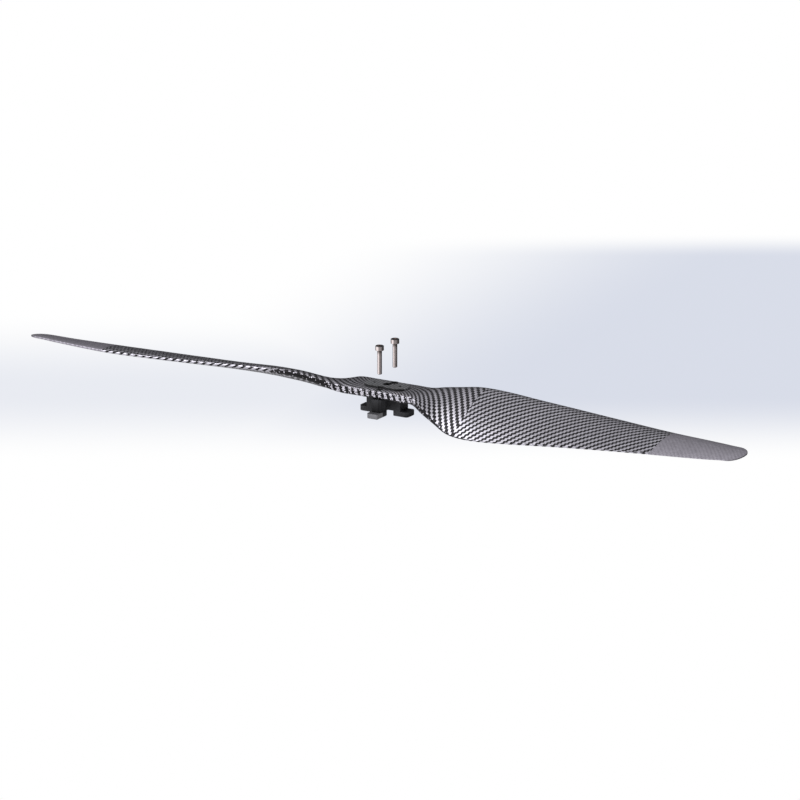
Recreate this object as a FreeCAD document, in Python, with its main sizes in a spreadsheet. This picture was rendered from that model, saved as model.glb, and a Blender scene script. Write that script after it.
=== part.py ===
import FreeCAD, Part
import math
import os
import Sketcher
from FreeCAD import Placement, Rotation, Vector

# Two-bladed carbon propeller with a black four-lug adapter under its hub and two cap screws.
# Row frame: origin on the spin axis at the feet of the adapter, +X along the blades, +Z up the axis.
# The blades are a design table of stations; a station is turned half a turn for the left blade.

doc = FreeCAD.newDocument("propeller")

# ---------------------------------------------------------------- driving dimensions, mm and degrees
DIMENSIONS = [
    ("tip_radius", 266.7), ("tip_start", 256.0), ("edge_half", 0.35), ("camber", 0.035),
    ("skin", 0.7), ("bond", 0.15), ("core_end", 186.0), ("core_front", 0.12), ("core_back", 0.74),
    ("section_step", 8.0), ("hub_top", 17.6), ("hub_thick", 6.0), ("hub_flat", 20.0), ("block_half", 30.0),
    ("tip_joint", 206.0),
    ("screw_pitch", 9.4), ("pin_pitch", 9.8),
    ("plate_length", 31.2), ("plate_width", 15.0), ("plate_thick", 1.1), ("plate_corner", 6.8),
    ("plate_bevel", 0.35), ("plate_notch_radius", 3.2), ("plate_bore_radius", 2.7), ("plate_film", 0.03),
    ("well_radius", 2.6), ("well_x", 2.4), ("well_y", 4.4), ("well_depth", 2.9),
    ("bush_radius", 4.0), ("bush_bore_radius", 2.6), ("bush_length", 3.0),
    ("sleeve_radius", 2.3), ("sleeve_bore_radius", 1.6),
    ("pin_radius", 0.9), ("pin_hole_radius", 1.0), ("pin_bottom", 6.0), ("pin_top", 18.2),
    ("foot_height", 3.4), ("side_bar_half", 12.5), ("side_bar_width", 10.0), ("side_lug_start", 7.5),
    ("side_lug_end", 18.1), ("leg_half", 15.0), ("leg_width", 7.2), ("leg_bevel", 1.5),
    ("end_lug_start", 7.0), ("end_lug_end", 18.7), ("end_lug_width", 7.8), ("side_lug_round", 2.4),
    ("end_lug_round", 0.8),
    ("insert_radius", 2.2), ("insert_length", 6.5), ("insert_bore_radius", 1.56),
    ("screw_well_radius", 1.7), ("screw_well_bottom", 1.0),
    ("shank_radius", 1.5), ("shank_length", 16.0), ("head_radius", 2.75), ("head_height", 3.0),
    ("socket_across", 2.5), ("socket_depth", 1.6), ("head_bevel", 0.3), ("shank_bevel", 0.35),
    ("screw_lift", 26.0),
]

# station radius, chord, pitch angle, mid-chord offset towards +Y, mid-chord drop below the hub top,
# thickness
STATIONS = [
    (24.0, 27.0, 0.0, 0.0, 3.0, 6.0),
    (34.0, 32.5, 8.0, -1.2, 3.8, 6.2),
    (46.0, 38.0, 20.0, -2.6, 5.7, 6.6),
    (60.0, 47.0, 24.2, -4.7, 6.8, 7.0),
    (80.0, 51.5, 22.2, -6.9, 6.9, 6.4),
    (105.0, 49.5, 19.5, -7.0, 6.9, 5.2),
    (135.0, 46.0, 15.5, -6.0, 6.7, 4.4),
    (170.0, 40.0, 12.0, -4.4, 6.8, 3.7),
    (205.0, 33.0, 9.5, -2.8, 7.0, 3.0),
    (240.0, 24.5, 10.0, -1.9, 6.6, 2.3),
    (256.0, 20.0, 10.0, -1.8, 6.2, 2.0),
]
COLUMNS = ("radius", "chord", "pitch", "sweep", "drop", "thickness")

sheet = doc.addObject("Spreadsheet::Sheet", "sizes")


def fill_sheet():
    rows = list(DIMENSIONS)
    for number, station in enumerate(STATIONS, start=1):
        for column, value in zip(COLUMNS, station):
            rows.append((f"{column}_{number}", value))
    for row, (alias, value) in enumerate(rows, start=1):
        sheet.set(f"A{row}", alias)
        sheet.set(f"B{row}", str(value))
        sheet.setAlias(f"B{row}", alias)
    doc.recompute()


fill_sheet()


def size(alias):
    return float(getattr(sheet, alias))


# ---------------------------------------------------------------- blade surface
def smooth(value):
    value = min(max(value, 0.0), 1.0)
    return value * value * (3.0 - 2.0 * value)


def station_value(column, x):
    """Value of a column at the distance x from the axis: a cubic through the table's stations."""
    count = len(STATIONS)
    radii = [size(f"radius_{number}") for number in range(1, count + 1)]
    values = [size(f"{column}_{number}") for number in range(1, count + 1)]
    if x <= radii[0]:
        return values[0]
    if x >= radii[-1]:
        return values[-1]
    place = max(index for index in range(count - 1) if radii[index] <= x)
    slopes = []
    for index in (place, place + 1):
        low, high = max(index - 1, 0), min(index + 1, count - 1)
        flat = index == 0
        slopes.append(0.0 if flat else (values[high] - values[low]) / (radii[high] - radii[low]))
    span = radii[place + 1] - radii[place]
    t = (x - radii[place]) / span
    blend = smooth(t)
    start_term = (t - 1.0) ** 2 * t * span * slopes[0]
    end_term = t**2 * (t - 1.0) * span * slopes[1]
    return values[place] * (1.0 - blend) + values[place + 1] * blend + start_term + end_term


class Section:
    """One cross-section of the blade at a distance x from the spin axis."""

    def __init__(self, x, shrink=1.0):
        self.x = x
        self.length = station_value("chord", x) * shrink
        self.thickness = max(station_value("thickness", x) * shrink, 2.4 * size("edge_half"))
        self.slope = math.radians(station_value("pitch", x))
        shift = 0.1 * (1.0 - shrink) * station_value("chord", x)
        self.mid_y = station_value("sweep", x) + shift * math.cos(self.slope)
        self.mid_z = size("hub_top") - station_value("drop", x) + shift * math.sin(self.slope)
        start, stop = size("radius_1"), size("radius_4")
        self.wing = smooth((x - start) / (stop - start))

    def half(self, s):
        """Half thickness at the chord fraction s, from a rounded slab at the hub to an aerofoil."""
        slab = (1.0 - abs(2.0 * s - 1.0) ** 5) ** 0.2
        foil = 10.0 * (0.2969 * math.sqrt(s) - 0.126 * s - 0.3516 * s**2 + 0.2843 * s**3 - 0.1015 * s**4)
        shape = (1.0 - self.wing) * slab + self.wing * foil
        edge = size("edge_half")
        return edge + (self.thickness / 2.0 - edge) * shape

    def point(self, s, side, inset=0.0):
        """Point at chord fraction s from the leading edge: side is 1 above, -1 below, 0 between."""
        along = (0.5 - s) * self.length
        bow = 4.0 * size("camber") * self.wing * s * (1.0 - s) * self.length
        y = self.mid_y + along * math.cos(self.slope)
        z = self.mid_z + along * math.sin(self.slope) + bow + side * self.half(s)
        return Vector(self.x, y, z - side * inset)


def spaced(start, stop):
    """Distances from start to stop in even steps of at most section_step."""
    count = math.ceil((stop - start) / size("section_step"))
    return [start + (stop - start) * index / count for index in range(count + 1)]


def make_sections():
    """Sections from the flat of the hub to the rounded tip, whose chord closes in along a curve."""
    tip_start = size("tip_start")
    sections = [Section(x) for x in spaced(size("hub_flat") / 2.0, tip_start)]
    for step in (0.3, 0.55, 0.75, 0.88, 0.96, 1.0):
        shrink = max(math.sqrt(max(1.0 - step**2.2, 0.0)), 0.1)
        sections.append(Section(tip_start + (size("tip_radius") - tip_start) * step, shrink))
    return sections


SECTIONS = make_sections()
CURVE_STEPS = 18
DEGREE = 3


def turned(points):
    """The same row of points on the other blade, read from the +Y edge again."""
    return [Vector(-point.x, -point.y, point.z) for point in reversed(points)]


def spread(start, stop):
    """Chord fractions from start to stop, closer together at both ends."""
    steps = range(CURVE_STEPS + 1)
    return [start + (stop - start) * (1.0 - math.cos(math.pi * step / CURVE_STEPS)) / 2.0 for step in steps]


def fitted(points, parameters):
    spline = Part.BSplineCurve()
    spline.interpolate(Points=points, Parameters=parameters)
    return spline


def travel(rows):
    """Parameter of each row: the distance that its edges have moved since the first row."""
    totals = [0.0]
    for before, after in zip(rows, rows[1:]):
        totals.append(totals[-1] + max((after[end] - before[end]).Length for end in (0, -1)))
    return [total / totals[-1] for total in totals]


def reached(rows):
    """Parameter of each point in a row: the share of a row's length up to it, as a mean of all rows."""
    shares = [0.0] * (CURVE_STEPS + 1)
    for row in rows:
        steps = [(after - before).Length for before, after in zip(row, row[1:])]
        for index in range(1, CURVE_STEPS + 1):
            shares[index] += sum(steps[:index]) / sum(steps) / len(rows)
    return shares[:-1] + [1.0]


def surface_through(rows, along):
    """Smooth surface through rows of points: across each row first, then from row to row."""
    across = reached(rows)
    row_curves = [fitted(row, across) for row in rows]
    pole_rows = [row_curve.getPoles() for row_curve in row_curves]
    lines = [fitted([poles[index] for poles in pole_rows], along) for index in range(len(pole_rows[0]))]
    surface = Part.BSplineSurface()
    surface.buildFromPolesMultsKnots(
        [line.getPoles() for line in lines], row_curves[0].getMultiplicities(), lines[0].getMultiplicities(),
        row_curves[0].getKnots(), lines[0].getKnots(), False, False, DEGREE, DEGREE)
    return surface


def strip_between(first, second):
    """Ruled surface between two edge lines that share their knots."""
    surface = Part.BSplineSurface()
    surface.buildFromPolesMultsKnots(
        [first.getPoles(), second.getPoles()], [2, 2], first.getMultiplicities(),
        [0.0, 1.0], first.getKnots(), False, False, 1, DEGREE)
    return surface


def end_cap(top, bottom, end):
    """Flat face that closes the tube between two surfaces at one end of the row parameter."""
    edges = [surface.vIso(end).toShape() for surface in (top, bottom)]
    corners = [[surface.value(side, end) for side in (0.0, 1.0)] for surface in (top, bottom)]
    edges += [Part.makeLine(corners[0][side], corners[1][side]) for side in (0, 1)]
    return Part.Face(Part.Wire(Part.__sortEdges__(edges)))


def lofted(rows):
    """Solid through pairs of rows of points, with the turned pairs on the other side of the axis."""
    pairs = [(turned(top), turned(bottom)) for top, bottom in reversed(rows)] + rows
    along = travel([top for top, bottom in pairs])
    top, bottom = [surface_through([pair[index] for pair in pairs], along) for index in (0, 1)]
    faces = [top.toShape(), bottom.toShape()]
    faces += [strip_between(top.uIso(side), bottom.uIso(side)).toShape() for side in (0.0, 1.0)]
    faces += [end_cap(top, bottom, end) for end in (0.0, 1.0)]
    shell = Part.makeShell(faces)
    shell.sewShape()
    solid = Part.Solid(shell)
    solid.fix(1e-6, 1e-6, 1e-6)
    if solid.Volume < 0:
        solid.reverse()
    return solid


def half_shell(side):
    """Everything between the outer surface on one side and the parting surface."""
    rows = []
    gap = size("bond") / 3.0
    for section in SECTIONS:
        outer = [section.point(s, side) for s in spread(0.0, 1.0)]
        inner = [section.point(s, 0) + Vector(0, 0, side * gap) for s in spread(0.0, 1.0)]
        rows.append((outer, inner) if side > 0 else (inner, outer))
    return lofted(rows)


def whole_blades():
    """Both blades and the hub as one solid, out to the outer surface."""
    rows = []
    for section in SECTIONS:
        fractions = spread(0.0, 1.0)
        rows.append(([section.point(s, 1) for s in fractions], [section.point(s, -1) for s in fractions]))
    return lofted(rows)


def filling(clear):
    """The space inside the skins, made smaller all round by clear."""
    rows = []
    front, back = size("core_front"), size("core_back")
    for x in spaced(size("hub_flat") / 2.0, size("core_end") - clear):
        section = Section(x)
        hub_back = back + (1.0 - section.wing) * (1.0 - front - back)
        trim = clear / section.length
        fractions = spread(front + trim, hub_back - trim)
        inset = size("skin") + clear
        rows.append(([section.point(s, 1, inset) for s in fractions],
                     [section.point(s, -1, inset) for s in fractions]))
    return lofted(rows)


def box(low, high):
    corner = Vector(*low)
    return Part.makeBox(high[0] - low[0], high[1] - low[1], high[2] - low[2], corner)


def rod(x, y, radius, low=-5.0, high=30.0):
    return Part.makeCylinder(radius, high - low, Vector(x, y, low))


def tip_region(clear=0.0):
    """Everything beyond the joint of the right blade's tip."""
    return box((size("tip_joint") + clear, -60, -30), (size("tip_radius") + 10.0, 60, 60))


def half_turn(shape):
    copy = shape.copy()
    copy.rotate(Vector(0, 0, 0), Vector(0, 0, 1), 180.0)
    return copy


# ---------------------------------------------------------------- document helpers
def add_feature(name, shape, half_turned=False):
    """Plain feature whose lofted shape is computed from the sheet, turned for the left blade."""
    if isinstance(shape, Part.Compound) and len(shape.Solids) == 1:
        shape = shape.Solids[0]
    feature = doc.addObject("Part::Feature", name)
    feature.Shape = shape
    feature.Label = name
    angle = 180.0 if half_turned else 0.0
    feature.Placement = Placement(Vector(0, 0, 0), Rotation(Vector(0, 0, 1), angle))
    return feature


def add_body(name):
    body = doc.addObject("PartDesign::Body", name)
    body.Label = name
    return body


def add_sketch(body, name, height):
    """Sketch on the body's XY plane, lifted to the height given by an expression."""
    sketch = body.newObject("Sketcher::SketchObject", name)
    plane = next(item for item in body.Origin.OriginFeatures if item.Role == "XY_Plane")
    sketch.AttachmentSupport = (plane, [""])
    sketch.MapMode = "FlatFace"
    sketch.setExpression("AttachmentOffset.Base.z", height)
    return sketch


def bind(sketch, constraint, expression):
    index = sketch.addConstraint(constraint)
    sketch.setExpression(f"Constraints[{index}]", expression)


def draw_circle(sketch, radius, x="0", y="0"):
    """Circle whose radius and centre are expressions."""
    index = sketch.addGeometry(Part.Circle(Vector(1, 1, 0), Vector(0, 0, 1), 1.0))
    bind(sketch, Sketcher.Constraint("Radius", index, 1.0), radius)
    for kind, value in (("DistanceX", x), ("DistanceY", y)):
        if value == "0":
            sketch.addConstraint(Sketcher.Constraint(kind, -1, 1, index, 3, 0.0))
        else:
            bind(sketch, Sketcher.Constraint(kind, -1, 1, index, 3, 1.0), value)


def draw_rectangle(sketch, low_x, high_x, low_y, high_y):
    """Rectangle whose four sides are expressions."""
    corners = [Vector(1, 1, 0), Vector(2, 1, 0), Vector(2, 2, 0), Vector(1, 2, 0)]
    first = len(sketch.Geometry)
    for index in range(4):
        sketch.addGeometry(Part.LineSegment(corners[index], corners[(index + 1) % 4]))
    for index in range(4):
        sketch.addConstraint(Sketcher.Constraint("Coincident", first + index, 2, first + (index + 1) % 4, 1))
    for index in (0, 2):
        sketch.addConstraint(Sketcher.Constraint("Horizontal", first + index))
        sketch.addConstraint(Sketcher.Constraint("Vertical", first + index + 1))
    bind(sketch, Sketcher.Constraint("DistanceX", -1, 1, first, 1, 1.0), low_x)
    bind(sketch, Sketcher.Constraint("DistanceX", -1, 1, first, 2, 2.0), high_x)
    bind(sketch, Sketcher.Constraint("DistanceY", -1, 1, first, 1, 1.0), low_y)
    bind(sketch, Sketcher.Constraint("DistanceY", -1, 1, first + 2, 1, 2.0), high_y)


def add_pad(body, sketch, length):
    pad = body.newObject("PartDesign::Pad", f"{sketch.Name}_pad")
    pad.Profile = sketch
    pad.setExpression("Length", length)
    sketch.Visibility = False
    doc.recompute()
    return pad


def add_pocket(body, sketch, length):
    """Pocket downwards from the sketch, turned over if it removes nothing."""
    before = body.Shape.Volume
    pocket = body.newObject("PartDesign::Pocket", f"{sketch.Name}_pocket")
    pocket.Profile = sketch
    pocket.setExpression("Length", length)
    doc.recompute()
    if abs(body.Shape.Volume - before) < 1e-6:
        pocket.Reversed = True
        doc.recompute()
    return pocket


def dress(body, kind, amount, wanted):
    """Fillet or chamfer of the edges of the body's last feature that wanted picks."""
    tip = body.Tip
    names = [f"Edge{index}" for index, edge in enumerate(tip.Shape.Edges, start=1) if wanted(edge)]
    dressing = body.newObject(f"PartDesign::{kind}", f"{body.Name}_{kind.lower()}_{len(body.Group)}")
    dressing.Base = (tip, names)
    dressing.setExpression("Radius" if kind == "Fillet" else "Size", amount)
    doc.recompute()
    return dressing


def upright(edge):
    low, high = edge.Vertexes[0].Point, edge.Vertexes[-1].Point
    return abs(low.x - high.x) < 1e-4 and abs(low.y - high.y) < 1e-4 and abs(low.z - high.z) > 1e-3


def at_height(edge, height):
    return all(abs(vertex.Z - height) < 1e-4 for vertex in edge.Vertexes)


# ---------------------------------------------------------------- carbon shells and their filling
FRONT, REAR = -1.0, 1.0


def hub_holes(extra):
    """Holes through the hub for the bush, the sleeves and the pins, and a well beside the bore."""
    floor = size("hub_top") - size("well_depth") - extra
    tools = [rod(0, 0, size("bush_radius") + extra),
             rod(size("well_x"), size("well_y"), size("well_radius") + extra, low=floor)]
    for side in (FRONT, REAR):
        tools.append(rod(0, side * size("screw_pitch"), size("sleeve_radius") + extra))
        tools.append(rod(side * size("pin_pitch"), 0, size("pin_hole_radius") + extra))
    return tools


tip_tool = tip_region()
cuts = [filling(0.0), tip_tool, half_turn(tip_tool)] + hub_holes(size("bond"))
upper_half = half_shell(1)
lower_half = half_shell(-1)
add_feature("upper_skin", upper_half.cut(cuts))
add_feature("lower_skin", lower_half.cut(cuts))

inner = filling(size("bond"))
block_half = size("block_half")
core_start = block_half + size("bond")
right_core = inner.common(box((core_start, -60, -30), (size("core_end"), 60, 60)))
add_feature("right_core", right_core)
add_feature("left_core", right_core, half_turned=True)
block = inner.common(box((-block_half, -60, -30), (block_half, 60, 60)))
add_feature("hub_block", block.cut(hub_holes(size("bond") / 3.0)))


right_tip = whole_blades().common(tip_region(size("bond")))
add_feature("right_tip", right_tip)
add_feature("left_tip", right_tip, half_turned=True)


# ---------------------------------------------------------------- hub hardware
def add_tube(name, outer, bore, height, length, y="0"):
    body = add_body(name)
    sketch = add_sketch(body, f"{name}_ring", height)
    draw_circle(sketch, outer, y=y)
    draw_circle(sketch, bore, y=y)
    add_pad(body, sketch, length)
    return body


HUB_BASE = "sizes.hub_top - sizes.hub_thick"
add_tube("centre_bush", "sizes.bush_radius", "sizes.bush_bore_radius", HUB_BASE, "sizes.bush_length")
for name, sign in (("front", "-"), ("rear", "")):
    add_tube(f"{name}_sleeve", "sizes.sleeve_radius", "sizes.sleeve_bore_radius", HUB_BASE,
             "sizes.hub_thick", y=f"{sign}sizes.screw_pitch")
    add_tube(f"{name}_insert", "sizes.insert_radius", "sizes.insert_bore_radius",
             f"{HUB_BASE} - sizes.insert_length - 0.05", "sizes.insert_length", y=f"{sign}sizes.screw_pitch")


def add_pin(name, sign):
    body = add_body(name)
    sketch = add_sketch(body, f"{name}_circle", "sizes.pin_bottom")
    draw_circle(sketch, "sizes.pin_radius", x=f"{sign}sizes.pin_pitch")
    add_pad(body, sketch, "sizes.pin_top - sizes.pin_bottom")
    dress(body, "Chamfer", "sizes.pin_radius / 4", lambda edge: edge.Curve.TypeId == "Part::GeomCircle")


add_pin("right_pin", "")
add_pin("left_pin", "-")


def add_top_plate():
    """Plate held on the hub's top face by a thin film of glue."""
    body = add_body("top_plate")
    seat = "sizes.hub_top + sizes.plate_film"
    sketch = add_sketch(body, "plate_outline", seat)
    half_length, half_width = "sizes.plate_length / 2", "sizes.plate_width / 2"
    draw_rectangle(sketch, f"-{half_length}", half_length, f"-{half_width}", half_width)
    add_pad(body, sketch, "sizes.plate_thick")
    dress(body, "Fillet", "sizes.plate_corner", upright)
    top = size("hub_top") + size("plate_film") + size("plate_thick")
    notches = add_sketch(body, "plate_notches", f"{seat} + sizes.plate_thick")
    draw_circle(notches, "sizes.plate_notch_radius", y="sizes.screw_pitch")
    draw_circle(notches, "sizes.plate_notch_radius", y="-sizes.screw_pitch")
    add_pocket(body, notches, "sizes.plate_thick")
    dress(body, "Chamfer", "sizes.plate_bevel", lambda edge: at_height(edge, top))
    holes = add_sketch(body, "plate_holes", f"{seat} + sizes.plate_thick")
    draw_circle(holes, "sizes.plate_bore_radius")
    draw_circle(holes, "sizes.pin_hole_radius", x="sizes.pin_pitch")
    draw_circle(holes, "sizes.pin_hole_radius", x="-sizes.pin_pitch")
    add_pocket(body, holes, "sizes.plate_thick")
    well = add_sketch(body, "plate_well", f"{seat} + sizes.plate_thick")
    draw_circle(well, "sizes.well_radius", x="sizes.well_x", y="sizes.well_y")
    add_pocket(body, well, "sizes.plate_thick")


add_top_plate()


# ---------------------------------------------------------------- four-lug adapter
def add_block(body, name, half_x, half_y, low, height, start_x=None, start_y=None, sign=""):
    """Pad of a rectangle that is centred, or runs outwards from start on one side of the axis."""
    sketch = add_sketch(body, name, low)
    spans = []
    for half, start in ((half_x, start_x), (half_y, start_y)):
        if start is None:
            spans += [f"-{half}", half]
        elif sign == "-":
            spans += [f"-{half}", f"-{start}"]
        else:
            spans += [start, half]
    draw_rectangle(sketch, *spans)
    add_pad(body, sketch, height)


def add_adapter():
    body = add_body("adapter")
    foot = "sizes.foot_height"
    rise = f"{HUB_BASE} - {foot}"
    side_half, leg_half = "sizes.side_bar_width / 2", "sizes.leg_width / 2"
    lug_half = "sizes.end_lug_width / 2"
    add_block(body, "leg_bar", leg_half, "sizes.leg_half", foot, rise)
    leg_end = size("leg_half")
    dress(body, "Chamfer", "sizes.leg_bevel",
          lambda edge: upright(edge) and abs(abs(edge.CenterOfMass.y) - leg_end) < 1e-3)
    add_block(body, "side_bar", "sizes.side_bar_half", side_half, foot, rise)
    for name, sign in (("right", ""), ("left", "-")):
        add_block(body, f"{name}_lug", "sizes.side_lug_end", side_half, "0", foot,
                  start_x="sizes.side_lug_start", sign=sign)
    for name, sign in (("rear", ""), ("front", "-")):
        add_block(body, f"{name}_lug", lug_half, "sizes.end_lug_end", "0", foot,
                  start_y="sizes.end_lug_start", sign=sign)
    side_end, lug_end = size("side_lug_end"), size("end_lug_end")
    dress(body, "Fillet", "sizes.side_lug_round",
          lambda edge: upright(edge) and abs(abs(edge.CenterOfMass.x) - side_end) < 1e-3)
    dress(body, "Fillet", "sizes.end_lug_round",
          lambda edge: upright(edge) and abs(abs(edge.CenterOfMass.y) - lug_end) < 1e-3)
    bores = add_sketch(body, "adapter_bores", HUB_BASE)
    draw_circle(bores, "sizes.bush_bore_radius")
    add_pocket(body, bores, rise)
    pins = add_sketch(body, "adapter_pin_holes", HUB_BASE)
    draw_circle(pins, "sizes.pin_hole_radius", x="sizes.pin_pitch")
    draw_circle(pins, "sizes.pin_hole_radius", x="-sizes.pin_pitch")
    add_pocket(body, pins, f"{HUB_BASE} - sizes.pin_bottom + 0.2")
    seats = add_sketch(body, "adapter_insert_seats", HUB_BASE)
    draw_circle(seats, "sizes.insert_radius + 0.02", y="sizes.screw_pitch")
    draw_circle(seats, "sizes.insert_radius + 0.02", y="-sizes.screw_pitch")
    add_pocket(body, seats, "sizes.insert_length + 0.1")
    wells = add_sketch(body, "adapter_screw_wells", HUB_BASE)
    draw_circle(wells, "sizes.screw_well_radius", y="sizes.screw_pitch")
    draw_circle(wells, "sizes.screw_well_radius", y="-sizes.screw_pitch")
    add_pocket(body, wells, f"{HUB_BASE} - sizes.screw_well_bottom")
    dress(body, "Chamfer", "0.35", lambda edge: at_height(edge, 0.0))


add_adapter()


# ---------------------------------------------------------------- cap screws, lifted out of the hub
def draw_hexagon(sketch, across, centre_y, place):
    """Hexagon socket about a point on the Y axis, with a corner towards +X."""
    corner = size(across) / math.sqrt(3.0)
    angles = [math.radians(60.0 * index) for index in range(6)]
    points = [Vector(corner * math.cos(angle), centre_y + corner * math.sin(angle), 0) for angle in angles]
    for index in range(6):
        sketch.addGeometry(Part.LineSegment(points[index], points[(index + 1) % 6]))
    ring = sketch.addGeometry(Part.Circle(Vector(0, centre_y, 0), Vector(0, 0, 1), corner), True)
    for index in range(6):
        sketch.addConstraint(Sketcher.Constraint("Coincident", index, 2, (index + 1) % 6, 1))
        sketch.addConstraint(Sketcher.Constraint("PointOnObject", index, 1, ring))
    for index in range(1, 6):
        sketch.addConstraint(Sketcher.Constraint("Equal", 0, index))
    sketch.addConstraint(Sketcher.Constraint("Horizontal", 0, 1, ring, 3))
    sketch.addConstraint(Sketcher.Constraint("PointOnObject", ring, 3, -2))
    bind(sketch, Sketcher.Constraint("DistanceY", -1, 1, ring, 3, centre_y), place)
    bind(sketch, Sketcher.Constraint("Radius", ring, corner), f"sizes.{across} / sqrt(3)")


def add_screw(name, sign):
    body = add_body(name)
    place = f"{sign}sizes.screw_pitch"
    centre = (-1.0 if sign else 1.0) * size("screw_pitch")
    seat = "sizes.hub_top + sizes.screw_lift"
    shank = add_sketch(body, f"{name}_shank", f"{seat} - sizes.shank_length")
    draw_circle(shank, "sizes.shank_radius", y=place)
    add_pad(body, shank, "sizes.shank_length + sizes.head_height / 2")
    shank_end = size("hub_top") + size("screw_lift") - size("shank_length")
    dress(body, "Chamfer", "sizes.shank_bevel", lambda edge: at_height(edge, shank_end))
    head = add_sketch(body, f"{name}_head", seat)
    draw_circle(head, "sizes.head_radius", y=place)
    add_pad(body, head, "sizes.head_height")
    head_top = size("hub_top") + size("screw_lift") + size("head_height")
    dress(body, "Chamfer", "sizes.head_bevel", lambda edge: at_height(edge, head_top))
    socket = add_sketch(body, f"{name}_socket", f"{seat} + sizes.head_height")
    draw_hexagon(socket, "socket_across", centre, place)
    add_pocket(body, socket, "sizes.socket_depth")


add_screw("front_screw", "-")
add_screw("rear_screw", "")

# ---------------------------------------------------------------- check and write
NODES = [
    "upper_skin", "lower_skin", "right_core", "left_core", "right_tip", "left_tip", "hub_block",
    "centre_bush", "front_sleeve", "rear_sleeve", "top_plate", "right_pin", "left_pin", "adapter",
    "front_insert", "rear_insert", "front_screw", "rear_screw",
]


def write_parts():
    doc.recompute()
    for item in doc.Objects:
        faults = {"Invalid", "Error"} & set(item.State)
        if faults:
            raise RuntimeError(f"{item.Name} is {sorted(faults)}")
    os.makedirs("parts", exist_ok=True)
    for node in NODES:
        shape = doc.getObject(node).Shape
        if shape.isNull() or not shape.isValid():
            raise RuntimeError(f"{node} has no valid shape")
        shape.exportStep(f"parts/{node}.step")
        bounds = shape.BoundBox
        print(f"{node}: {len(shape.Solids)} solid, {shape.Volume:.1f} mm3,"
              f" z {bounds.ZMin:.2f} to {bounds.ZMax:.2f}, x {bounds.XMin:.2f} to {bounds.XMax:.2f}")


write_parts()
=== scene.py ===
import math

import bpy
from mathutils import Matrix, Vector


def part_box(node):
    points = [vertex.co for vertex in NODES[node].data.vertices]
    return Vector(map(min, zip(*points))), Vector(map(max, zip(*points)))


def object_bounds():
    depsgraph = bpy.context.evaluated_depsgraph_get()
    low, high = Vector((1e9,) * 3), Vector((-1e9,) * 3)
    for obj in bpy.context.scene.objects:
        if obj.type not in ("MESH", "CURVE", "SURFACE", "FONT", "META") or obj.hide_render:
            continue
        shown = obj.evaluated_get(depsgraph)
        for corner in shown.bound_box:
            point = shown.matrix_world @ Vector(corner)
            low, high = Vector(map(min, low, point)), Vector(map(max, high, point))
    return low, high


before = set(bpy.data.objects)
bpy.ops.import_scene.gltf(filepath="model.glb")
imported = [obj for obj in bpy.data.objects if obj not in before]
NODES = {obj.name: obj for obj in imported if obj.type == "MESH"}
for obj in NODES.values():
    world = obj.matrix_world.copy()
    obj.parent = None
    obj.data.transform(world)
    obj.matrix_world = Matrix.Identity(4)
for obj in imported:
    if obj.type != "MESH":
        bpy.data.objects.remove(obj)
CAD_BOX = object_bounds()

# Lengths are in metres, except where a comment says otherwise.
# Camera: the direction it looks from, its distance, and where the hub sits in the picture. The long
# distance makes the picture nearly free of perspective.
CAMERA_AZIMUTH = math.radians(31.42)
CAMERA_ELEVATION = math.radians(16.0)
CAMERA_DISTANCE = 22.0
CLIP_END = 60.0
SENSOR_WIDTH = 36.0  # millimetres
PICTURE_WIDTH = 0.5105
HUB_LEFT_OF_CENTRE = 0.0081
HUB_ABOVE_CENTRE = 0.0091

# Cloth: the distance between twill ribs along X, along Y, and along Y at the hub.
MAIN_RIB = (0.0053, 0.0052, 0.0052)
ROOT_RIB = (0.0044, 0.0064, 0.0020)
TIP_RIB = (0.0030, 0.0033, 0.0033)
PLATE_RIB = (0.0044, 0.0024, 0.0024)
# The root cloth ends at ROOT_END from the axis. Between the ROOT_TURN distances, its ribs close up along Y
# towards the hub, which turns them towards the line of the blades.
ROOT_END = 0.066
ROOT_TURN = (0.008, 0.050)
# Ribs repeat every TOWS_PER_RIB tows. A rib's edge would be straight with a TOOTH of 0, and would have full
# steps with 1. RIB_SOFTNESS is the blur of that edge, as a share of the ribs' spacing. WOBBLE sets how far
# the cloth strays from its true grid.
TOWS_PER_RIB = 3.0
TOOTH = 0.80
RIB_SOFTNESS = 0.05
WOBBLE = 0.0007

# Walls: the steep front and back of the skins, which begin where the share of the surface's direction along
# Y is between the WALL_STEEP values. WALL_CUT is the size of one cut tow end, and WALL_CLUMP is the distance
# between clumps of them. The clumps begin over the CLUMP_FOOT heights and stop over the CLUMP_END distances
# from the axis. The ribs on the wall begin over the WALL_RIB_START distances.
WALL_STEEP = (0.60, 0.72)
WALL_CUT = 0.0007
WALL_CLUMP = 0.0044
CLUMP_LEAN = 0.3
WALL_RIB_LEAN = -1.5
MOSTLY_DARK = 0.93
HUB_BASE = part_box("hub_block")[0][2]
CLUMP_FOOT = (HUB_BASE + 0.0012, HUB_BASE + 0.0018)
CLUMP_END = (0.027, 0.036)
WALL_RIB_START = (0.072, 0.082)

# Plate: its cut edge is bare black resin, which begins where that share is between the EDGE_STEEP values.
EDGE_STEEP = (0.3, 0.5)
EDGE_BLACK = (0.012, 0.012, 0.012)

# Adapter: painted light makes the front lug a lighter grey below LUG_LIGHT_TOP and forward of
# LUG_LIGHT_EDGE. Worn edges are WORN_GREY on all moulded parts.
LUG_LIGHT_TOP = 0.0034
LUG_LIGHT_EDGE = -0.0115
LUG_LIGHT_GREY = (0.19, 0.188, 0.195)
WORN_GREY = (0.06, 0.06, 0.065)
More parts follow.
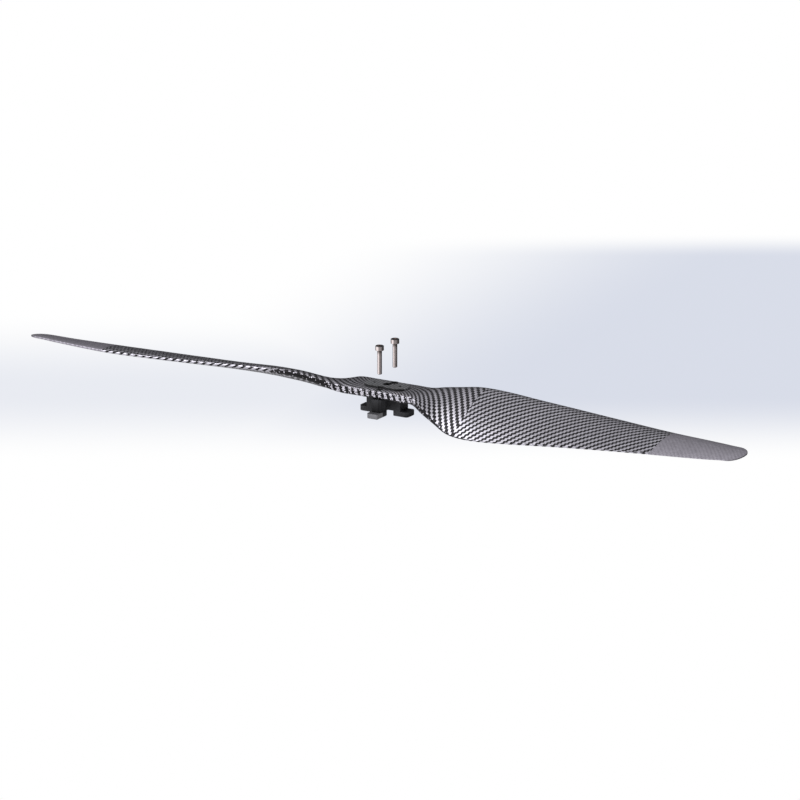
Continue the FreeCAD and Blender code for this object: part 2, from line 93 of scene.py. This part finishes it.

# Screws: depths below the top of the head. The painted shade that turns the upward faces of the head black
# is full down to BLACK_FULL and has faded out at BLACK_END. The painted shade under the head begins at
# NECK_TOP, is full down to NECK_FULL and has faded out at NECK_END.
BLACK_FULL = 0.0006
BLACK_END = 0.0022
NECK_TOP = 0.0029
NECK_FULL = 0.0032
NECK_END = 0.0062
SCREW_BRIGHT = (0.64, 0.56, 0.535)
SCREW_STAIN = (0.54, 0.465, 0.44)
SCREW_NECK_SHADE = (0.13, 0.105, 0.097)
SCREW_BLACK = (0.008, 0.008, 0.008)

# Floor: its drop below the part, its size and its colours. The grey patch on it starts, loses its weaker
# left part and ends over these three pairs of distances behind the axis. The border between the two parts
# is GREY_BORDER from the axis and moves right by GREY_SLANT for each metre further back.
FLOOR_BELOW = 0.16
FLOOR_HALF = 12.0
FLOOR_WHITE = (1.0, 1.0, 1.0)
FLOOR_GREY = (0.690, 0.722, 0.812)
GREY_START = (0.44, 0.60)
GREY_LEFT_END = (0.62, 0.80)
GREY_END = (0.93, 0.99)
GREY_LEFT = 0.6
GREY_SLANT = 0.47
GREY_BORDER = -0.35
GREY_BORDER_WIDTH = 0.28

# World: the strength of the sky near the horizon and overhead, of the bounce from below, and of the
# three lights, and the tint of them all.
SKY = (0.05, 0.78)
BOUNCE = 0.9
HIGH_LEFT = 3.4
LOW_LEFT = 1.5
FRONT = 0.36
WORLD_TINT = (0.95, 0.96, 1.0, 1.0)


# ---------------------------------------------------------------- small helpers for shader nodes
class Graph:
    """A node tree, with one short call for each kind of node."""

    def __init__(self, tree):
        self.tree = tree

    def node(self, kind, **settings):
        made = self.tree.nodes.new(kind)
        for key, value in settings.items():
            setattr(made, key, value)
        return made

    def feed(self, socket, value):
        """Link the value to the socket if it is another node's output, and set it otherwise."""
        if isinstance(value, bpy.types.NodeSocket):
            self.tree.links.new(value, socket)
        elif value is not None:
            socket.default_value = value

    def math(self, operation, first, second=None, third=None):
        made = self.node("ShaderNodeMath", operation=operation)
        for socket, value in zip(made.inputs, (first, second, third)):
            self.feed(socket, value)
        return made.outputs[0]

    def product(self, first, second):
        return self.math("MULTIPLY", first, second)

    def vary(self, value, amount, least):
        """least where the value is 0, and more by amount where it is 1."""
        return self.math("MULTIPLY_ADD", value, amount, least)

    def mix(self, factor, first, second):
        """Mix two colours, each an output or a plain red, green and blue."""
        made = self.node("ShaderNodeMix", data_type="RGBA")
        self.feed(made.inputs["Factor"], factor)
        for index, colour in ((6, first), (7, second)):
            linked = isinstance(colour, bpy.types.NodeSocket)
            self.feed(made.inputs[index], colour if linked else (*colour, 1.0))
        return made.outputs[2]

    def blend(self, factor, first, second):
        """Mix two numbers."""
        made = self.node("ShaderNodeMix", data_type="FLOAT")
        for index, value in ((0, factor), (2, first), (3, second)):
            self.feed(made.inputs[index], value)
        return made.outputs[0]

    def ramp(self, value, low, high, out_low=0.0, out_high=1.0):
        """Smooth step from out_low where the value is low to out_high where it is high."""
        made = self.node("ShaderNodeMapRange", interpolation_type="SMOOTHSTEP")
        for socket, given in zip(made.inputs, (value, low, high, out_low, out_high)):
            self.feed(socket, given)
        return made.outputs[0]

    def noise(self, vector, scale, detail=2.0):
        made = self.node("ShaderNodeTexNoise")
        self.feed(made.inputs["Vector"], vector)
        made.inputs["Scale"].default_value = scale
        made.inputs["Detail"].default_value = detail
        return made.outputs["Fac"]

    def speckle(self, vector):
        """A random number for each whole-numbered place in a flat grid."""
        made = self.node("ShaderNodeTexWhiteNoise", noise_dimensions="2D")
        self.feed(made.inputs["Vector"], vector)
        return made.outputs["Value"]

    def split(self, vector):
        made = self.node("ShaderNodeSeparateXYZ")
        self.feed(made.inputs[0], vector)
        return made.outputs

    def join(self, x, y, z=0.0):
        made = self.node("ShaderNodeCombineXYZ")
        for socket, value in zip(made.inputs, (x, y, z)):
            self.feed(socket, value)
        return made.outputs[0]

    def place(self):
        return self.node("ShaderNodeTexCoord").outputs["Object"]

    def facing(self):
        """Surface direction in the object's own axes."""
        return self.split(self.node("ShaderNodeTexCoord").outputs["Normal"])

    def bump(self, height, distance, strength=1.0):
        made = self.node("ShaderNodeBump")
        self.feed(made.inputs["Height"], height)
        made.inputs["Distance"].default_value = distance
        made.inputs["Strength"].default_value = strength
        return made.outputs["Normal"]


class MaterialGraph(Graph):
    """The node tree of a new material."""

    def __init__(self, name):
        self.material = bpy.data.materials.new(name)
        self.material.use_nodes = True
        super().__init__(self.material.node_tree)
        self.shader = self.tree.nodes["Principled BSDF"]

    def set(self, **values):
        for name, value in values.items():
            self.feed(self.shader.inputs[name.replace("_", " ")], value)
        return self.material


# ---------------------------------------------------------------- carbon cloth
def weave(graph, along, across, lean, share):
    """Twill of dark ribs beside light ones, with a tooth for each tow. Ribs rise with X where lean is 1,
    and fall where it is -1. share is how much of the cloth is dark. Returns how dark the spot is, the
    height of the tow's crown, and the pair of tow numbers."""
    stepped, running = (along, across) if lean > 0 else (across, along)
    saw = graph.math("FRACT", stepped)
    turn = graph.math("SUBTRACT" if lean > 0 else "ADD", running, stepped)
    turn = graph.math("MULTIPLY_ADD", saw, lean * TOOTH, turn)
    phase = graph.math("DIVIDE", graph.math("FLOORED_MODULO", turn, TOWS_PER_RIB), TOWS_PER_RIB)
    off = graph.math("ABSOLUTE", graph.math("SUBTRACT", phase, 0.5))
    crown = graph.math("SINE", graph.product(saw, math.pi))
    darkness = graph.ramp(off, share / 2.0 - RIB_SOFTNESS, share / 2.0 + RIB_SOFTNESS, 1.0, 0.0)
    darkness = graph.product(darkness, graph.ramp(crown, 0.0, 0.4, 0.85, 1.0))
    rib_number = graph.math("FLOOR", graph.math("DIVIDE", turn, TOWS_PER_RIB))
    return darkness, crown, graph.join(graph.math("FLOOR", stepped), rib_number)


def zone_weave(graph, x, y, wobble, zone):
    """Weave of one (rib spacing, lean, dark share) zone."""
    (rib_x, rib_y, hub_rib_y), lean, share = zone
    reach = graph.math("ABSOLUTE", x)
    tow_y = graph.ramp(reach, *ROOT_TURN, hub_rib_y / TOWS_PER_RIB, rib_y / TOWS_PER_RIB)
    along = graph.math("DIVIDE", graph.math("ADD", x, wobble), rib_x / TOWS_PER_RIB)
    across = graph.math("DIVIDE", graph.math("ADD", y, wobble), tow_y)
    return weave(graph, along, across, lean, share)


def slanted(graph, x, z, lean, spacing):
    """Distance from the middle of the nearest of the slanted stripes, as a share of their spacing."""
    place = graph.math("FRACT", graph.math("DIVIDE", graph.math("MULTIPLY_ADD", z, lean, x), spacing))
    return graph.math("ABSOLUTE", graph.math("SUBTRACT", place, 0.5))


def steepness(graph):
    """Share of the surface's direction that is along Y, to either side."""
    return graph.math("ABSOLUTE", graph.facing()[1])


def cut_ends(graph, x, z):
    """A random number for each cut tow end on the walls. The ends have ragged outlines."""
    ragged = graph.product(graph.noise(graph.join(x, 0.0, z), 500.0), 2.5)
    column = graph.math("FLOOR", graph.math("ADD", graph.math("DIVIDE", x, WALL_CUT), ragged))
    row = graph.math("FLOOR", graph.math("ADD", graph.math("DIVIDE", z, WALL_CUT), ragged))
    return graph.speckle(graph.join(column, row))


def wall_darkness(graph, x, z):
    """How dark each spot on the steep walls is. Clumps of cut tow ends stand along the hub, hardly any
    show low down or at the blade roots, and beyond the roots the ribs of the skin run out over the edge."""
    reach = graph.math("ABSOLUTE", x)
    between = graph.ramp(slanted(graph, x, z, CLUMP_LEAN, WALL_CLUMP), 0.10, 0.38, 0.15, 0.97)
    low = graph.ramp(z, *CLUMP_FOOT, MOSTLY_DARK, 0.0)
    root = graph.ramp(reach, *CLUMP_END, 0.0, MOSTLY_DARK)
    dark_share = graph.math("MAXIMUM", between, graph.math("MAXIMUM", root, low))
    hub = graph.math("LESS_THAN", cut_ends(graph, x, z), dark_share)
    blade = graph.ramp(slanted(graph, x, z, WALL_RIB_LEAN, MAIN_RIB[0]), 0.24, 0.32)
    return graph.blend(graph.ramp(reach, *WALL_RIB_START), hub, blade)


def cloth_shade(graph, position, numbers):
    """Small changes of brightness: from tow to tow, in fine streaks and in broad clouds."""
    x, y, z = graph.split(position)
    streaks = graph.noise(graph.join(graph.product(x, 9.0), y, z), 900.0, detail=3.0)
    shade = graph.vary(graph.speckle(numbers), 0.16, 0.90)
    shade = graph.product(shade, graph.vary(streaks, 0.30, 0.86))
    return graph.product(shade, graph.vary(graph.noise(position, 14.0), 0.20, 0.90))


def cloth_material(name, zones, light, dark, roughness, dark_metal, walls=False, black_edges=False):
    """Carbon cloth in clear resin. zones is one or two (rib spacing, lean, dark share) sets: the first
    is used beyond ROOT_END from the axis and the second, where there is one, inside it. With one, it is
    used all over."""
    graph = MaterialGraph(name)
    position = graph.place()
    x, y, z = graph.split(position)
    wobble = graph.product(graph.math("SUBTRACT", graph.noise(position, 45.0), 0.5), WOBBLE)
    weaves = [zone_weave(graph, x, y, wobble, zone) for zone in zones]
    darkness, crown, numbers = weaves[0]
    if len(weaves) > 1:
        inside = graph.math("LESS_THAN", graph.math("ABSOLUTE", x), ROOT_END)
        darkness = graph.blend(inside, darkness, weaves[1][0])
        crown = graph.blend(inside, crown, weaves[1][1])
    if walls:
        wall = graph.ramp(steepness(graph), *WALL_STEEP)
        darkness = graph.blend(wall, darkness, wall_darkness(graph, x, z))
    tinted = graph.node("ShaderNodeVectorMath", operation="SCALE")
    graph.feed(tinted.inputs[0], graph.mix(darkness, light, dark))
    graph.feed(tinted.inputs["Scale"], cloth_shade(graph, position, numbers))
    colour = tinted.outputs[0]
    gloss = graph.vary(graph.noise(position, 60.0), 0.10, roughness - 0.05)
    gloss = graph.math("MULTIPLY_ADD", darkness, 0.10, gloss)
    metal = graph.blend(darkness, 0.92, dark_metal)
    if black_edges:
        edge = graph.ramp(steepness(graph), *EDGE_STEEP)
        colour = graph.mix(edge, colour, EDGE_BLACK)
        metal = graph.blend(edge, metal, 0.0)
    return graph.set(Base_Color=colour, Metallic=metal, Roughness=gloss, Coat_Weight=0.02,
                     Coat_Roughness=0.15, Specular_IOR_Level=0.10, Normal=graph.bump(crown, 0.00008, 0.30))


# ---------------------------------------------------------------- foam, moulded and metal parts
def foam_material():
    """Pale foam with a fine cell pattern."""
    graph = MaterialGraph("foam_core")
    cells = graph.node("ShaderNodeTexVoronoi")
    graph.feed(cells.inputs["Vector"], graph.place())
    cells.inputs["Scale"].default_value = 1500.0
    colour = graph.mix(cells.outputs["Distance"], (0.62, 0.58, 0.48), (0.82, 0.79, 0.70))
    return graph.set(Base_Color=colour, Roughness=0.9, Normal=graph.bump(cells.outputs["Distance"], 0.0002))


def moulded_material(name, colour, roughness, lug_painted_light=False):
    """Black moulded surface with a fine grain, faint clouds and paler worn edges. With the lug flag set, the
    front lug also gets painted light: a lighter grey there."""
    graph = MaterialGraph(name)
    position = graph.place()
    grain = graph.noise(position, 3500.0, detail=3.0)
    cloud = graph.noise(position, 130.0, detail=3.0)
    edges = graph.node("ShaderNodeNewGeometry").outputs["Pointiness"]
    base = graph.mix(cloud, tuple(0.7 * c for c in colour), tuple(1.4 * c for c in colour))
    base = graph.mix(graph.product(graph.ramp(edges, 0.52, 0.62), cloud), base, WORN_GREY)
    rough = graph.vary(grain, 0.16, roughness - 0.08)
    if lug_painted_light:
        # Painted light: the lower front of the front lug is painted a lighter grey, mottled by the clouds.
        y, z = graph.split(position)[1:3]
        low = graph.ramp(z, LUG_LIGHT_TOP - 0.0004, LUG_LIGHT_TOP + 0.0002, 1.0, 0.0)
        lug_light = graph.product(low, graph.ramp(y, LUG_LIGHT_EDGE - 0.001, LUG_LIGHT_EDGE, 1.0, 0.0))
        lug_light = graph.product(lug_light, graph.vary(cloud, 0.8, 0.4))
        base = graph.mix(lug_light, base, LUG_LIGHT_GREY)
    return graph.set(Base_Color=base, Roughness=rough, Specular_IOR_Level=0.09,
                     Normal=graph.bump(grain, 0.00004, 0.35))


def metal_material(name, colour, roughness, turned=True):
    """Metal with slight stains and small changes in gloss. Turned metal has fine rings from the lathe,
    and the rest has a fine grain."""
    graph = MaterialGraph(name)
    position = graph.place()
    if turned:
        marks = graph.noise(graph.join(0.0, 0.0, graph.split(position)[2]), 6000.0)
    else:
        marks = graph.noise(position, 2500.0)
    stain = graph.noise(position, 260.0, detail=3.0)
    base = graph.mix(stain, tuple(0.78 * c for c in colour), colour)
    rough = graph.vary(stain, 0.14, roughness - 0.07)
    return graph.set(Base_Color=base, Metallic=1.0, Roughness=rough, Normal=graph.bump(marks, 0.00002, 0.3))


def screw_material(head_top):
    """Warm bright steel, with painted shade that turns the faces of the head that look up black, and painted
    shade that makes the steel darker just below the head."""
    graph = MaterialGraph("screw_steel")
    position = graph.place()
    z = graph.split(position)[2]
    up = graph.facing()[2]
    stain = graph.noise(position, 140.0)
    turning = graph.noise(graph.join(0.0, 0.0, z), 9000.0)
    # Painted shade: the faces of the head that look up are painted black, without metal.
    black = graph.ramp(z, head_top - BLACK_END, head_top - BLACK_FULL)
    black = graph.product(black, graph.ramp(up, 0.2, 0.6))
    # Painted shade: the steel just below the head is painted darker.
    neck_shade = graph.ramp(z, head_top - NECK_END, head_top - NECK_FULL)
    neck_shade = graph.product(neck_shade, graph.math("LESS_THAN", z, head_top - NECK_TOP))
    bright = graph.mix(stain, SCREW_STAIN, SCREW_BRIGHT)
    base = graph.mix(black, graph.mix(neck_shade, bright, SCREW_NECK_SHADE), SCREW_BLACK)
    rough = graph.math("MULTIPLY_ADD", stain, 0.12, graph.blend(black, 0.20, 0.42))
    return graph.set(Base_Color=base, Metallic=graph.blend(black, 1.0, 0.0), Roughness=rough,
                     Specular_IOR_Level=0.25, Normal=graph.bump(turning, 0.00001, 0.15))


# ---------------------------------------------------------------- materials onto the nodes
def paint(material, *names):
    """Put the material into every slot of the named nodes."""
    for name in names:
        for slot in NODES[name].material_slots:
            slot.material = material


def paint_cloth():
    skin = cloth_material("carbon_skin", [(MAIN_RIB, 1, 0.57), (ROOT_RIB, -1, 0.60)],
                          light=(0.43, 0.413, 0.445), dark=(0.006, 0.0052, 0.006), roughness=0.26,
                          dark_metal=0.0, walls=True)
    paint(skin, "upper_skin", "lower_skin")
    tip = cloth_material("carbon_tip", [(TIP_RIB, -1, 0.45)], light=(0.285, 0.268, 0.296),
                         dark=(0.22, 0.205, 0.228), roughness=0.38, dark_metal=0.9)
    paint(tip, "right_tip", "left_tip")
    plate = cloth_material("plate_carbon", [(PLATE_RIB, -1, 0.5)], light=(0.25, 0.25, 0.257),
                           dark=(0.07, 0.07, 0.072), roughness=0.42, dark_metal=0.8, black_edges=True)
    paint(plate, "top_plate")


def paint_fittings():
    paint(foam_material(), "right_core", "left_core")
    paint(moulded_material("hub_laminate", (0.02, 0.02, 0.02), 0.55), "hub_block")
    paint(moulded_material("adapter_black", (0.004, 0.0037, 0.004), 0.45, lug_painted_light=True), "adapter")
    # The bush and both sleeves are painted a dark grey metal, as painted shade for the holes they sit in.
    bush = metal_material("bush_metal", (0.10, 0.10, 0.10), 0.42)
    paint(bush, "centre_bush", "front_sleeve", "rear_sleeve")
    paint(metal_material("pin_steel", (0.06, 0.06, 0.063), 0.40, turned=False), "right_pin", "left_pin")
    paint(metal_material("insert_brass", (0.78, 0.57, 0.25), 0.28), "front_insert", "rear_insert")
    paint(screw_material(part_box("front_screw")[1][2]), "front_screw", "rear_screw")


# ---------------------------------------------------------------- stage, light and camera
def floor_colour(graph):
    """White near the camera, then a grey patch, strong to the right and weaker to the left, and white
    again at the far end."""
    across, away = graph.split(graph.place())[0:2]
    border = graph.math("MULTIPLY_ADD", away, GREY_SLANT, GREY_BORDER)
    right = graph.math("DIVIDE", graph.math("SUBTRACT", across, border), GREY_BORDER_WIDTH)
    left = graph.product(graph.ramp(away, *GREY_LEFT_END, 1.0, 0.0), GREY_LEFT)
    grey = graph.math("MAXIMUM", graph.ramp(right, -0.5, 0.5), left)
    grey = graph.product(grey, graph.ramp(away, *GREY_START))
    grey = graph.product(grey, graph.ramp(away, *GREY_END, 1.0, 0.0))
    return graph.mix(grey, FLOOR_WHITE, FLOOR_GREY)


def add_floor():
    """Pale floor, turned square to the camera, that glows in its own colour and shows in no reflection."""
    corners = [(-FLOOR_HALF, -FLOOR_HALF, 0.0), (FLOOR_HALF, -FLOOR_HALF, 0.0),
               (FLOOR_HALF, FLOOR_HALF, 0.0), (-FLOOR_HALF, FLOOR_HALF, 0.0)]
    mesh = bpy.data.meshes.new("floor")
    mesh.from_pydata(corners, [], [(0, 1, 2, 3)])
    floor = bpy.data.objects.new("floor", mesh)
    bpy.context.collection.objects.link(floor)
    floor.location = (0.0, 0.0, CAD_BOX[0][2] - FLOOR_BELOW)
    floor.rotation_euler = (0.0, 0.0, CAMERA_AZIMUTH)
    floor.visible_glossy = False
    graph = MaterialGraph("floor_paper")
    paper = graph.set(Base_Color=(0.0, 0.0, 0.0, 1.0), Roughness=1.0, Specular_IOR_Level=0.0,
                      Emission_Color=floor_colour(graph), Emission_Strength=1.0)
    floor.data.materials.append(paper)


def add_softbox(name, position, target, size, power):
    """Rectangular lamp turned to the target."""
    light = bpy.data.lights.new(name, "AREA")
    light.shape = "RECTANGLE"
    light.size, light.size_y = size
    light.energy = power
    lamp = bpy.data.objects.new(name, light)
    bpy.context.collection.objects.link(lamp)
    lamp.location = position
    lamp.rotation_euler = (Vector(target) - Vector(position)).to_track_quat("-Z", "Y").to_euler()


def add_world():
    """Studio round the part: a sky that brightens upward, a bounce from below, a strong light high on the
    camera's left, a softer one low on that side, and a weak one from the camera's side."""
    world = bpy.data.worlds.new("studio")
    bpy.context.scene.world = world
    world.use_nodes = True
    graph = Graph(world.node_tree)
    direction = graph.node("ShaderNodeTexCoord").outputs["Generated"]
    up = graph.split(direction)[2]

    def toward(x, y):
        made = graph.node("ShaderNodeVectorMath", operation="DOT_PRODUCT")
        graph.feed(made.inputs[0], direction)
        made.inputs[1].default_value = (x, y, 0.0)
        return made.outputs["Value"]

    sky = graph.ramp(up, 0.14, 0.80, *SKY)
    bounce = graph.ramp(up, -0.75, -0.35, BOUNCE, 0.0)
    high_left = graph.ramp(toward(-1.0, -1.0), 0.42, 0.56, 0.0, HIGH_LEFT)
    high_left = graph.product(high_left, graph.ramp(up, 0.4, 0.6))
    low_left = graph.ramp(toward(-0.75, -0.66), 0.45, 0.95, 0.0, LOW_LEFT)
    low_left = graph.product(low_left, graph.ramp(up, 0.1, 0.5, 1.0, 0.0))
    total = graph.ramp(toward(0.52, -0.85), 0.0, 0.8, 0.0, FRONT)
    for light in (low_left, high_left, bounce, sky):
        total = graph.math("ADD", total, light)
    background = world.node_tree.nodes["Background"]
    background.inputs["Color"].default_value = WORLD_TINT
    graph.feed(background.inputs["Strength"], total)


def add_camera():
    """Camera without roll, far back along its line of sight, aimed beside the hub."""
    azimuth, elevation = CAMERA_AZIMUTH, CAMERA_ELEVATION
    right = Vector((math.cos(azimuth), math.sin(azimuth), 0.0))
    back = Vector((math.sin(azimuth) * math.cos(elevation), -math.cos(azimuth) * math.cos(elevation),
                   math.sin(elevation)))
    up = back.cross(right)
    hub = Vector((0.0, 0.0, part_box("top_plate")[0][2]))
    target = hub + right * HUB_LEFT_OF_CENTRE - up * HUB_ABOVE_CENTRE
    data = bpy.data.cameras.new("camera")
    data.sensor_width = SENSOR_WIDTH
    data.lens = SENSOR_WIDTH * CAMERA_DISTANCE / PICTURE_WIDTH
    data.clip_end = CLIP_END
    camera = bpy.data.objects.new("camera", data)
    bpy.context.collection.objects.link(camera)
    camera.location = target + back * CAMERA_DISTANCE
    camera.rotation_euler = back.to_track_quat("Z", "Y").to_euler()
    bpy.context.scene.camera = camera


paint_cloth()
paint_fittings()
add_floor()
add_softbox("top", position=(-0.5, -0.2, 2.2), target=(0.0, 0.0, 0.0), size=(1.6, 1.0), power=6.0)
add_world()
add_camera()
bpy.context.scene.view_settings.view_transform = "Standard"
